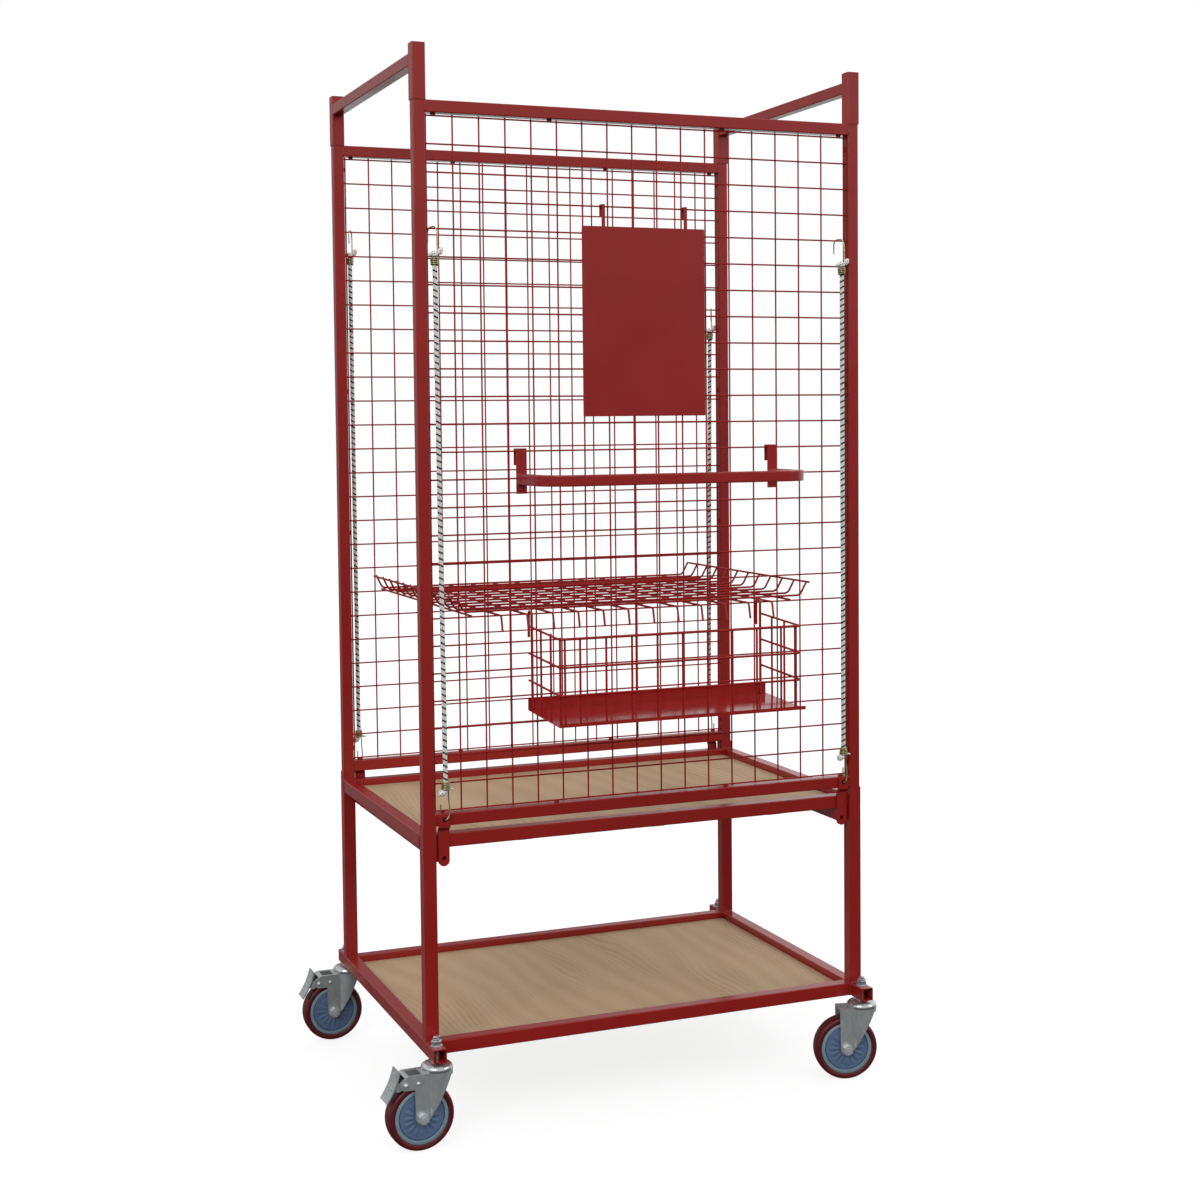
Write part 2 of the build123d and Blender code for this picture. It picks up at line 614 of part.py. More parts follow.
BASKET_HOOK = 2.5        # radius
BASKET_HOOK_Z = WIRE_ZERO + 7 * PITCH + MESH_WIRE + BASKET_HOOK + 0.2
HOOK_OUTER_Y = BASKET_BACK - 4.2
HOOK_INNER_Y = -LEG_Y + 6.2
with BuildPart() as basket_hooks:
    for x in (BASKET_LEFT + BASKET_WIRE + BASKET_HOOK, BASKET_RIGHT - BASKET_WIRE - BASKET_HOOK):
        add(bent_wire([(x, HOOK_OUTER_Y, BASKET_FLOOR + 1.0), (x, HOOK_OUTER_Y, BASKET_HOOK_Z),
                       (x, HOOK_INNER_Y, BASKET_HOOK_Z), (x, HOOK_INNER_Y, BASKET_HOOK_Z - 48)],
                      5.0, BASKET_HOOK))
save(basket_hooks.part, "basket_hooks")

# ---------------------------------------------------------------- wire shelf inside the cage
SHELF_LONG_ROWS = 12
SHELF_CROSS_ROWS = 14
SHELF_CROSS_X = -358.0
SHELF_BACK_END = LEG_Y + 8.0
SHELF_FRONT_END = -LEG_Y - 18.0
LONG_Z = SHELF_LIFT + 2 * SHELF_WIRE + 0.2
long_wire = [(-375, 0, LONG_Z + 27), (-362, 0, LONG_Z), (331, 0, LONG_Z), (346, 0, LONG_Z + 27)]
with BuildPart() as shelf_long_wires:
    with Locations([(0, (k - (SHELF_LONG_ROWS - 1) / 2) * PITCH, 0) for k in range(SHELF_LONG_ROWS)]):
        add(bent_wire(long_wire, 12.0, SHELF_WIRE))
save(shelf_long_wires.part, "shelf_long_wires")

with BuildPart() as shelf_cross_wires:
    for k in range(SHELF_CROSS_ROWS):
        x = SHELF_CROSS_X + k * PITCH
        if k in (0, SHELF_CROSS_ROWS - 1):
            add(straight_wire((x, SHELF_FRONT_END, SHELF_LIFT), (x, SHELF_BACK_END, SHELF_LIFT), SHELF_WIRE))
        else:
            add(bent_wire([(x, SHELF_BACK_END, SHELF_LIFT), (x, -LEG_Y - 40, SHELF_LIFT),
                           (x, -LEG_Y - 47, SHELF_LIFT - 29)], 6.0, SHELF_WIRE))
    for x in (-375 - 2 * SHELF_WIRE, 346 + 2 * SHELF_WIRE):
        add(straight_wire((x, -LEG_Y + 10, LONG_Z + 25), (x, LEG_Y - 10, LONG_Z + 25), SHELF_WIRE))
save(shelf_cross_wires.part, "shelf_cross_wires")

# ---------------------------------------------------------------- elastic cords and their hooks
CORD = 4.25              # radius
HOOK_WIRE = 1.7          # radius
FERRULE = 5.6            # radius of the wound ferrule
FERRULE_LONG = 15.0
# corner name: (side in x, side in y, mesh row of the upper hook)
CORDS = {
    "front_left": (-1, -1, 21),
    "front_right": (1, -1, 21),
    "back_left": (-1, 1, 22),
    "back_right": (1, 1, 19),
}


def cord_ends(side_x, side_y, row):
    """Lower and upper end of the cord itself."""
    wire = WIRE_ZERO + row * PITCH
    low = (side_x * (STRAP_X - 1.5), side_y * (LEG_Y + 17.5), WIRE_ZERO + 55)
    high = (side_x * (STRAP_X + 2.5), side_y * (LEG_Y + 10.0), wire - 66)
    return low, high


def ferrule(point, direction):
    """Wound wire ferrule around the end of a cord, starting at the cord's end."""
    with BuildPart() as winding:
        with BuildSketch(Plane(origin=point, z_dir=direction)):
            Circle(FERRULE)
        extrude(amount=FERRULE_LONG)
    return winding.part


def cord_hooks(side_x, side_y, row):
    """Upper hook over a mesh wire, lower hook through strap and rail, and both ferrules."""
    low, high = cord_ends(side_x, side_y, row)
    wire = WIRE_ZERO + row * PITCH
    run = (Vector(*high) - Vector(*low)).normalized()
    top = Vector(*high) + run * FERRULE_LONG
    foot = Vector(*low) - run * FERRULE_LONG
    crest = wire + MESH_WIRE + HOOK_WIRE + 0.3
    tip_x = top.X + side_x * 6.0
    tip_y = top.Y - side_y * 20.0
    shank_x = foot.X - side_x * 2.4
    foot_x = side_x * (STRAP_X + 4.5)
    foot_y = side_y * HOOK_TIP_Y
    with BuildPart() as hooks:
        add(ferrule(high, run))
        add(ferrule(low, -run))
        add(bent_wire([(top.X, top.Y, top.Z - 3), (top.X, top.Y, crest), (tip_x, tip_y, crest),
                       (tip_x, tip_y, crest - 26)], 9.0, HOOK_WIRE))
        add(bent_wire([(shank_x, foot.Y, foot.Z + 3), (shank_x, foot.Y, HOOK_HOLE_Z),
                       (foot_x, foot_y, HOOK_HOLE_Z), (foot_x, foot_y, WIRE_ZERO + 12)], 6.0, HOOK_WIRE))
    return hooks.part


for corner, (side_x, side_y, row) in CORDS.items():
    low, high = cord_ends(side_x, side_y, row)
    save(straight_wire(low, high, CORD), f"{corner}_cord")
    save(cord_hooks(side_x, side_y, row), f"{corner}_cord_hooks")
    print(corner, "cord length", round((Vector(*high) - Vector(*low)).length, 1))
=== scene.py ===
"""Looks of the mesh-sided parts trolley: materials, welds, cords, casters, floor, light and camera.

Everything is in metres in the shared frame: +Z up, front at -Y, the origin on the floor at the
middle of the base.
"""

import math

import bpy
import numpy as np
from mathutils import Matrix, Vector


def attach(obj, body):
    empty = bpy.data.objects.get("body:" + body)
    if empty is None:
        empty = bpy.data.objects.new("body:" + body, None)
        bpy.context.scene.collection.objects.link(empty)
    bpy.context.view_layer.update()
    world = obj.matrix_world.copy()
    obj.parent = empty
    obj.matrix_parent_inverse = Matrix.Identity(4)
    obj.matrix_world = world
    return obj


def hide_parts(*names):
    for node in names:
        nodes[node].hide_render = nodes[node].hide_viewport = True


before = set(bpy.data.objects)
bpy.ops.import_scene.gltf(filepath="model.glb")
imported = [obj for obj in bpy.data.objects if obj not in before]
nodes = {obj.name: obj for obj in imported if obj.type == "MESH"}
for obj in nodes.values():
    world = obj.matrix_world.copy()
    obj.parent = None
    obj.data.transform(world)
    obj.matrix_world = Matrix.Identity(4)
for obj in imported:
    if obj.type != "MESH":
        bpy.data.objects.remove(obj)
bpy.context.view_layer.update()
MM = 0.001
RNG = np.random.default_rng(7)

# ---------------------------------------------------------------- camera
CAMERA_PLACE = Vector((-1.388, -3.4385, 1.308))
CAMERA_TURN, CAMERA_DIP, CAMERA_ROLL = (math.radians(a) for a in (-21.87, 2.93, -0.58))
forward = Vector((
    -math.sin(CAMERA_TURN) * math.cos(CAMERA_DIP),
    math.cos(CAMERA_TURN) * math.cos(CAMERA_DIP),
    -math.sin(CAMERA_DIP),
))
level_right = forward.cross(Vector((0, 0, 1))).normalized()
level_up = level_right.cross(forward)
right = math.cos(CAMERA_ROLL) * level_right + math.sin(CAMERA_ROLL) * level_up
up = -math.sin(CAMERA_ROLL) * level_right + math.cos(CAMERA_ROLL) * level_up
camera_data = bpy.data.cameras.new("camera")
camera_data.lens = 54.81
camera_data.sensor_width = 36.0
camera_data.shift_x = 0.011
camera_data.shift_y = -0.0718
camera_data.clip_end = 60.0
camera = bpy.data.objects.new("camera", camera_data)
camera.matrix_world = Matrix.Translation(CAMERA_PLACE) @ Matrix((right, up, -forward)).transposed().to_4x4()
bpy.context.scene.collection.objects.link(camera)
bpy.context.scene.camera = camera

# ---------------------------------------------------------------- dimensions shared with the CAD model
LEG_X, LEG_Y = 0.440, 0.2875
TUBE, POST = 0.025, 0.022
BASE_BOTTOM, BASE_TOP = 0.158, 0.183
WIRE_ZERO = 0.603
SHELF_TOP = WIRE_ZERO - 0.043
PITCH, COLUMNS, ROWS = 0.050, 18, 26
MESH_WIRE, MESH_STEP = 1.5 * MM, 1.6 * MM
RAIL_LOW, RAIL_HIGH = WIRE_ZERO - 0.0155, WIRE_ZERO + 1.2655
CROSSBAR_TOP = WIRE_ZERO + 1.3595
SHELF_RAIL_Y = LEG_Y - 0.009
STRAP_X, STRAP_WIDE = LEG_X - 0.028, 0.021
AXLE_HEIGHT, TRAIL = 0.0625, 0.034
AXIS_Y = LEG_Y + TUBE / 2 + 0.022
# corner: place of the swivel axis, turn of the fork in degrees
CASTERS = {
    "front_left": (-LEG_X, -AXIS_Y, 2.0),
    "front_right": (LEG_X, -AXIS_Y, -15.0),
    "back_left": (-LEG_X, AXIS_Y, 0.0),
    "back_right": (LEG_X, AXIS_Y, 180.0),
}


# ---------------------------------------------------------------- materials
class Paint:
    """A node material under construction: makes nodes and joins them to a Principled shader."""

    def __init__(self, name):
        self.material = bpy.data.materials.new(name)
        self.material.use_nodes = True
        self.tree = self.material.node_tree
        self.shader = self.tree.nodes["Principled BSDF"]
        self.place = self.node("ShaderNodeTexCoord").outputs["Object"]

    def node(self, kind, inputs=None, **settings):
        made = self.tree.nodes.new(kind)
        for key, value in settings.items():
            setattr(made, key, value)
        for key, value in (inputs or {}).items():
            self.feed(made.inputs[key], value)
        return made

    def feed(self, socket, value):
        if isinstance(value, bpy.types.NodeSocket):
            self.tree.links.new(value, socket)
        else:
            socket.default_value = value

    def set(self, **values):
        for key, value in values.items():
            self.feed(self.shader.inputs[key.replace("_", " ")], value)

    def math(self, operation, *values):
        made = self.node("ShaderNodeMath", operation=operation)
        for k, value in enumerate(values):
            self.feed(made.inputs[k], value)
        return made.outputs[0]

    def noise(self, scale, detail=2.0, stretch=(1, 1, 1), turn=0.0, rough=0.5):
        moved = self.node("ShaderNodeMapping", {"Vector": self.place, "Scale": stretch,
                                                "Rotation": (0, 0, turn)})
        return self.node("ShaderNodeTexNoise", {"Vector": moved.outputs[0], "Scale": scale,
                                                "Detail": detail, "Roughness": rough}).outputs["Fac"]

    def spread(self, value, low, high, start=0.3, end=0.7):
        """A value from start..end mapped to low..high."""
        return self.node("ShaderNodeMapRange", {"Value": value, "From Min": start, "From Max": end,
                                                "To Min": low, "To Max": high}).outputs["Result"]

    def between(self, value, first, second, start=0.3, end=0.7):
        """A colour from first to second as value goes from start to end."""
        made = self.node("ShaderNodeMix", data_type="RGBA")
        self.feed(made.inputs[0], self.spread(value, 0.0, 1.0, start, end))
        self.feed(made.inputs[6], first)
        self.feed(made.inputs[7], second)
        return made.outputs[2]

    def bump(self, height, distance, strength=1.0):
        made = self.node("ShaderNodeBump", {"Height": height, "Distance": distance, "Strength": strength})
        self.set(Normal=made.outputs[0])


def rgb(red, green, blue):
    """Linear colour from 0..255 display values."""
    def linear(c):
        c = c / 255
        return c / 12.92 if c <= 0.04045 else ((c + 0.055) / 1.055) ** 2.4
    return (linear(red), linear(green), linear(blue), 1.0)


def red_paint(name, dark, light, index, smooth, dull):
    """Stove enamel with a faint orange peel."""
    p = Paint(name)
    tone = p.noise(7.0, 2.0)
    p.set(Base_Color=p.between(tone, dark, light), IOR=index)
    p.set(Roughness=p.spread(p.noise(18.0, 2.0), smooth, dull))
    p.bump(p.noise(260.0, 1.0), 0.00002, 0.35)
    return p.material


RINGS_PER_METRE = 520.0 / (2 * math.pi)
BANDS_PER_METRE = 90.0 / (2 * math.pi)
TWO_PLIES = 2.6 * MM


def plywood():
    """Sealed rotary-cut face with long faint figure towards the back, and the plies on the edges."""
    p = Paint("plywood")
    turn = math.radians(-7.0)
    turned = p.node("ShaderNodeMapping", {"Vector": p.place, "Rotation": (0, 0, turn)}).outputs[0]
    axes = p.node("ShaderNodeSeparateXYZ", {"Vector": turned})
    # growth rings: distance across the board, bent by a long and a short wave
    drift = p.noise(2.4, 2.0, (1.0, 0.42, 1.0), turn, 0.45)
    across = p.math("ADD", axes.outputs["X"], p.math("MULTIPLY", drift, 0.42))
    across = p.math("ADD", across, p.math("MULTIPLY", p.noise(11.0, 3.0, (1.0, 0.3, 1.0), turn), 0.030))
    rings = p.math("SINE", p.math("MULTIPLY", across, RINGS_PER_METRE * 2 * math.pi))
    wide = p.math("SINE", p.math("MULTIPLY", across, BANDS_PER_METRE * 2 * math.pi))
    pores = p.noise(60.0, 3.0, (14.0, 0.45, 1.0), turn, 0.7)
    cloud = p.noise(4.0, 2.0, (1.0, 0.5, 1.0))
    face = p.between(wide, rgb(196, 166, 133), rgb(203, 174, 142), -1.0, 1.0)

    def stain(strength, over, colour):
        layer = p.node("ShaderNodeMix", data_type="RGBA", blend_type="MULTIPLY")
        p.feed(layer.inputs[0], strength)
        p.feed(layer.inputs[6], over)
        p.feed(layer.inputs[7], colour)
        return layer.outputs[2]

    patch = p.spread(p.noise(4.5, 2.0, (1.0, 0.6, 1.0)), 0.10, 1.0, 0.40, 0.62)
    lined = stain(p.math("MULTIPLY", p.spread(rings, 0.0, 0.30, 0.0, 1.0), patch), face, rgb(196, 164, 134))
    specked = stain(p.spread(pores, 0.0, 0.26, 0.52, 0.80), lined, rgb(160, 136, 116))
    clouded = stain(p.spread(cloud, 0.0, 0.25, 0.45, 0.75), specked, rgb(208, 200, 198))
    height = p.node("ShaderNodeSeparateXYZ", {"Vector": p.place}).outputs["Z"]
    plies = p.math("SINE", p.math("MULTIPLY", height, 2 * math.pi / TWO_PLIES))
    edge = p.between(plies, rgb(150, 112, 78), rgb(205, 172, 132), -0.4, 0.5)
    normal = p.node("ShaderNodeSeparateXYZ", {"Vector": p.node("ShaderNodeTexCoord").outputs["Normal"]})
    on_face = p.math("GREATER_THAN", p.math("ABSOLUTE", normal.outputs["Z"]), 0.5)
    both = p.node("ShaderNodeMix", data_type="RGBA")
    p.feed(both.inputs[0], on_face)
    p.feed(both.inputs[6], edge)
    p.feed(both.inputs[7], clouded)
    p.set(Base_Color=both.outputs[2], Roughness=p.spread(pores, 0.55, 0.7), IOR=1.35)
    p.bump(p.math("MULTIPLY", pores, -1.0), 0.00008, 0.4)
    return p.material


def metal(name, dark, light, low, high, scale, bare, stretch=(1, 1, 1), pit=0.00003):
    """Plated steel with a fine grain; bare is how much of a metal it looks."""
    p = Paint(name)
    grain = p.noise(scale, 4.0, stretch, 0.0, 0.6)
    p.set(Base_Color=p.between(grain, dark, light), Metallic=bare)
    p.set(Roughness=p.spread(p.noise(scale * 0.4, 3.0), low, high))
    p.bump(grain, pit, 0.5)
    return p.material


def plastic(name, dark, light, low, high, scale=70.0, pit=0.00005, grain=900.0):
    """Moulded plastic or rubber with a fine texture."""
    p = Paint(name)
    p.set(Base_Color=p.between(p.noise(scale, 3.0), dark, light), IOR=1.49)
    p.set(Roughness=p.spread(p.noise(scale * 2, 2.0), low, high))
    p.bump(p.noise(grain, 2.0), pit, 0.5)
    return p.material


def yarn(name, dark, light):
    """Braid yarn: fine filaments across the light, from short-wave noise."""
    p = Paint(name)
    filament = p.noise(1500.0, 3.0, (1.0, 1.0, 0.35), 0.0, 0.7)
    p.set(Base_Color=p.between(filament, dark, light), Roughness=0.78, IOR=1.4, Sheen_Weight=0.35,
          Sheen_Roughness=0.4)
    p.bump(filament, 0.00018, 0.8)
    return p.material


RED = red_paint("red_paint", rgb(150, 31, 28), rgb(158, 34, 30), 1.5, 0.20, 0.26)
RED_GLOSS = red_paint("red_gloss_paint", rgb(152, 30, 28), rgb(160, 33, 30), 1.5, 0.08, 0.13)
RED_WIRE = red_paint("red_wire_paint", rgb(150, 22, 22), rgb(158, 25, 24), 1.30, 0.34, 0.42)
PLY = plywood()
ZINC = metal("zinc_plate", rgb(196, 203, 204), rgb(214, 220, 220), 0.36, 0.48, 160.0, 0.72,
             stretch=(1, 1, 0.35))
BRIGHT = metal("bright_zinc", rgb(205, 209, 212), rgb(226, 229, 232), 0.16, 0.28, 240.0, 0.88, pit=0.00002)
BOLT = metal("bolt_zinc", rgb(222, 226, 231), rgb(240, 243, 247), 0.20, 0.30, 240.0, 0.55, pit=0.00002)
YELLOW = metal("yellow_zinc", rgb(176, 168, 118), rgb(214, 206, 162), 0.24, 0.40, 400.0, 0.9)
COVER = plastic("hub_cover_plastic", rgb(92, 112, 146), rgb(98, 120, 154), 0.34, 0.46)
RIM = plastic("hub_rim_plastic", rgb(124, 150, 166), rgb(132, 158, 173), 0.36, 0.48)
TREAD = plastic("tread_polyurethane", rgb(92, 22, 24), rgb(99, 25, 27), 0.36, 0.50, 40.0, 0.00006, 500.0)
BLACK = plastic("black_plastic", rgb(24, 25, 28), rgb(34, 35, 38), 0.42, 0.6)
WHITE_YARN = yarn("white_yarn", rgb(232, 231, 224), rgb(250, 249, 244))
GREY_YARN = yarn("grey_yarn", rgb(200, 199, 193), rgb(230, 229, 223))
BLACK_YARN = yarn("black_yarn", rgb(4, 4, 6), rgb(14, 14, 17))

# materials by a node's whole name, or by what its name ends in; every other node is painted red
NODE_MATERIALS = {
    "base_deck": PLY, "shelf_deck": PLY, "basket_floor": RED_GLOSS,
    "caster_stems": BRIGHT, "stem_nuts": BRIGHT,
}
ENDING_MATERIALS = {
    "mesh": RED_WIRE, "wires": RED_WIRE, "cord_hooks": YELLOW, "cord": WHITE_YARN,
    "fork": ZINC, "pedal": ZINC, "axle": BOLT, "hub": COVER, "tread": TREAD, "brake_shoe": BLACK,
}
for name, node in nodes.items():
    ending = name.split("_", 2)[-1]
    node.data.materials.clear()
    node.data.materials.append(ENDING_MATERIALS.get(ending, NODE_MATERIALS.get(name, RED)))


# ---------------------------------------------------------------- mesh helpers
def new_object(name, data, body, *materials, slot=None):
    made = bpy.data.objects.new(name, data)
    bpy.context.scene.collection.objects.link(made)
    for m in materials:
        made.data.materials.append(m)
    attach(made, body)
    return made


def mesh_from(name, verts, faces, smooth=True, marks=None):
    mesh = bpy.data.meshes.new(name)
    mesh.from_pydata([tuple(v) for v in verts], [], faces)
    mesh.polygons.foreach_set("use_smooth", [smooth] * len(mesh.polygons))
    if marks is not None:
        mesh.polygons.foreach_set("material_index", marks)
    mesh.update()
    return mesh


class Pile:
    """Vertices and faces gathered from many small shapes into one mesh."""

    def __init__(self):
        self.verts, self.faces, self.marks = [], [], []

    def add(self, verts, faces, matrix=None, mark=0):
        start = len(self.verts)
        self.verts += [tuple(matrix @ Vector(v)) if matrix else tuple(v) for v in verts]
        self.faces += [tuple(start + k for k in f) for f in faces]
        self.marks += [mark] * len(faces)

    def done(self, name, body, *materials, slot=None):
        mesh = mesh_from(name, self.verts, self.faces, marks=self.marks)
        return new_object(name, mesh, body, *materials, slot=slot)


def frames_along(points):
    """A direction and two cross axes at each point of a line, turning as little as they can."""
    points = [Vector(p) for p in points]
    tangents = []
    for k in range(len(points)):
        step = points[min(k + 1, len(points) - 1)] - points[max(k - 1, 0)]
        tangents.append(step.normalized())
    side = tangents[0].orthogonal().normalized()
    out = []
    for point, tangent in zip(points, tangents):
        side = (side - tangent * side.dot(tangent)).normalized()
        out.append((point, tangent, side, tangent.cross(side)))
    return out


def tube(points, radii, sides=8):
    """Closed tube round a line of points, with a radius for each."""
    verts, faces = [], []
    rows = frames_along(points)
    for (point, _, a, b), radius in zip(rows, radii):
        for k in range(sides):
            angle = 2 * math.pi * k / sides
            verts.append(point + (a * math.cos(angle) + b * math.sin(angle)) * radius)
    for row in range(len(rows) - 1):
        for k in range(sides):
            here, there = row * sides, (row + 1) * sides
            faces.append((here + k, here + (k + 1) % sides, there + (k + 1) % sides, there + k))
    faces.append(tuple(range(sides))[::-1])
    faces.append(tuple((len(rows) - 1) * sides + k for k in range(sides)))
    return verts, faces


def ring_faces(count, steps):
    """Faces that join each copy of a closed profile to the next, all the way round."""
    faces = []
    for step in range(steps):
        here, there = step * count, (step + 1) % steps * count
        for k in range(count):
            nxt = (k + 1) % count
            faces.append((here + k, there + k, there + nxt, here + nxt))
    return faces


def lathe(profile, steps):
    """Surface of revolution about local Y from (radius, y) points."""
    verts = []
    for step in range(steps):
        angle = 2 * math.pi * step / steps
        for radius, y in profile:
            verts.append((radius * math.cos(angle), y, radius * math.sin(angle)))
    return verts, ring_faces(len(profile), steps)


def catmull(points, per=6):
    """Smooth line through a few points, for wire bends."""
    pts = [Vector(p) for p in points]
    pts = [pts[0] * 2 - pts[1]] + pts + [pts[-1] * 2 - pts[-2]]
    out = []
    for k in range(1, len(pts) - 2):
        p0, p1, p2, p3 = pts[k - 1:k + 3]
        for j in range(per):
            t = j / per
            out.append(0.5 * ((2 * p1) + (p2 - p0) * t + (2 * p0 - 5 * p1 + 4 * p2 - p3) * t * t
                              + (3 * p1 - p0 - 3 * p2 + p3) * t ** 3))
    out.append(pts[-2])
    return out


def smooth_cad(name, angle=32.0):
    """Shade a carried-over CAD node smooth, keeping its sharp edges."""
    node = nodes[name]
    node.data.polygons.foreach_set("use_smooth", [True] * len(node.data.polygons))
    node.data.set_sharp_from_angle(angle=math.radians(angle))


# ---------------------------------------------------------------- weld beads
BEADS = {}


def bead(body, start, end, radius=1.9 * MM):
    """Rippled weld bead in the corner along a joint."""
    start, end = Vector(start), Vector(end)
    length = (end - start).length
    count = max(4, int(length / (0.55 * MM)))
    phase = RNG.uniform(0, 6)
    points, radii = [], []
    for k in range(count + 1):
        t = k / count
        ripple = 0.10 * math.sin(phase + t * length / (1.7 * MM) * 2 * math.pi)
        taper = min(1.0, 0.45 + 6.0 * min(t, 1 - t))
        points.append(start.lerp(end, t) + Vector(RNG.normal(0, 0.05 * MM, 3)))
        radii.append(radius * taper * (1 + ripple))
    BEADS.setdefault(body, Pile()).add(*tube(points, radii, 8))


def ring_of_beads(body, axis, at, half_a, half_b, radius=1.6 * MM, sides=(0, 1, 2, 3)):
    """Beads along the sides of a rectangle centred on a point, square to an axis."""
    centre = Vector(at)
    a, b = {"x": ((0, 1, 0), (0, 0, 1)), "y": ((1, 0, 0), (0, 0, 1)), "z": ((1, 0, 0), (0, 1, 0))}[axis]
    a, b = Vector(a) * half_a, Vector(b) * half_b
    trim = 0.90
    corners = [(a, b), (-a, b), (-a, -b), (a, -b)]
    for k in sides:
        (a0, b0), (a1, b1) = corners[k], corners[(k + 1) % 4]
        first, second = centre + a0 + b0, centre + a1 + b1
        middle = (first + second) / 2
        bead(body, middle.lerp(first, trim), middle.lerp(second, trim), radius)


HALF = TUBE / 2
for sx in (-1, 1):
    for sy in (-1, 1):
        x, y = sx * LEG_X, sy * LEG_Y
        # leg foot on the side rail, both faces that stand across the rail
        ring_of_beads("base", "z", (x, y, BASE_TOP), HALF - 0.4 * MM, HALF, 2.1 * MM, (0, 2))
        # base cross rail against the side rail
        ring_of_beads("base", "x", (x - sx * HALF, y, BASE_TOP - HALF), HALF, HALF, 1.5 * MM)
        # shelf side rail and cross rail against the leg
        ring_of_beads("base", "y", (x, y - sy * HALF, SHELF_TOP - HALF), HALF, HALF, 1.4 * MM)
        ring_of_beads("base", "x", (x - sx * HALF, sy * SHELF_RAIL_Y, SHELF_TOP - HALF), HALF, HALF,
                      1.4 * MM, (0, 1, 3))
        # bearer under the cross rail, beside the leg
        bearer = (sx * (LEG_X - TUBE), sy * (SHELF_RAIL_Y + HALF), SHELF_TOP - 1.5 * TUBE)
        ring_of_beads("base", "y", bearer, HALF, HALF, 1.0 * MM, (0,))
        body = "front_panel" if sy < 0 else "back_panel"
        for level in (RAIL_LOW, RAIL_HIGH):
            ring_of_beads(body, "x", (sx * (LEG_X - POST / 2), y, level), POST / 2, POST / 2, 1.3 * MM)
        end = "left_end" if sx < 0 else "right_end"
        # crossbar against the sleeve, except on the outer face
        bar = (sx * (LEG_X + (TUBE - POST) / 2), y - sy * HALF, CROSSBAR_TOP - POST / 2)
        ring_of_beads(end, "y", bar, POST / 2, POST / 2, 1.4 * MM, (0, 1, 2) if sx > 0 else (0, 2, 3))
        face = sy * (LEG_Y + POST / 2 + 0.3 * MM)
        for side in (-1, 1):
            edge = sx * STRAP_X + side * STRAP_WIDE / 2
            bead(body, (edge, face, RAIL_LOW - 0.006), (edge, face, RAIL_LOW + 0.009), 1.2 * MM)

# deck lugs against the undersides of the cross rails
LUG_PLACES = (-0.250, 0.020, 0.270)
LUG_WELD_HALF = 11 * MM
for rail_y, low in ((LEG_Y, BASE_BOTTOM), (SHELF_RAIL_Y, SHELF_TOP - TUBE)):
    for side in (-1, 1):
        for x in LUG_PLACES:
            inner = side * (rail_y - HALF)
            bead("base", (x - LUG_WELD_HALF, inner, low), (x + LUG_WELD_HALF, inner, low), 1.3 * MM)

# the tabs that hold the mesh are tacked to the rails and posts
TACK_PLACES = (-0.412, -0.190, 0.160, 0.412)
TACK_HEIGHTS = (0.022, 0.475, 0.770, 1.228)
TACK_ASIDE, TACK_HALF, TACK_THICK = 1.2 * MM, 4 * MM, 0.8 * MM
POST_FACE = LEG_X - POST / 2
for sy, body in ((-1, "front_panel"), (1, "back_panel")):
    y = sy * (LEG_Y + MESH_STEP)
    for x in TACK_PLACES:
        for z in (RAIL_LOW + POST / 2, RAIL_HIGH - POST / 2):
            for side in (-1, 1):
                beside = y + side * TACK_ASIDE
                bead(body, (x - TACK_HALF, beside, z), (x + TACK_HALF, beside, z), TACK_THICK)
    y = sy * (LEG_Y - MESH_STEP)
    for height in TACK_HEIGHTS:
        z = WIRE_ZERO + height
        for x in (-POST_FACE, POST_FACE):
            for side in (-1, 1):
                beside = y + side * TACK_ASIDE
                bead(body, (x, beside, z - TACK_HALF), (x, beside, z + TACK_HALF), TACK_THICK)

for body, pile in BEADS.items():
    pile.done(f"{body}_welds", body, RED, slot="red_paint")


# ---------------------------------------------------------------- resistance welds where wires cross
def nugget(pile, centre, size):
    """Small flattened bulge where two wires are fused."""
    verts, faces = [], []
    rings, sides = 4, 8
    for ring in range(rings + 1):
        polar = math.pi * ring / rings
        for k in range(sides):
            angle = 2 * math.pi * k / sides
            verts.append((centre[0] + size[0] * math.sin(polar) * math.cos(angle),
                          centre[1] + size[1] * math.cos(polar),
                          centre[2] + size[2] * math.sin(polar) * math.sin(angle)))
    for ring in range(rings):
        for k in range(sides):
            a, b = ring * sides, (ring + 1) * sides
            faces.append((a + k, a + (k + 1) % sides, b + (k + 1) % sides, b + k))
    pile.add(verts, faces)


for sy, body in ((-1, "front_panel"), (1, "back_panel")):
    pile = Pile()
    for column in range(COLUMNS):
        for row in range(ROWS):
            nugget(pile, ((column - (COLUMNS - 1) / 2) * PITCH, sy * LEG_Y, WIRE_ZERO + row * PITCH),
                   (2.0 * MM, 2.1 * MM, 2.0 * MM))
    pile.done(f"{body}_wire_welds", body, RED, slot="red_paint")

WELD_SIZE = (2.4 * MM, 2.4 * MM, 2.4 * MM)
SHELF_WIRE_Z = WIRE_ZERO + 7 * PITCH + 5.8 * MM
LONG_WIRES, CROSS_WIRES = 12, 14
FIRST_CROSS_WIRE = -0.358
pile = Pile()
for row in range(LONG_WIRES):
    for column in range(CROSS_WIRES):
        x = FIRST_CROSS_WIRE + column * PITCH
        nugget(pile, (x, (row - (LONG_WIRES - 1) / 2) * PITCH, SHELF_WIRE_Z), WELD_SIZE)
pile.done("wire_shelf_welds", "wire_shelf", RED, slot="red_paint")

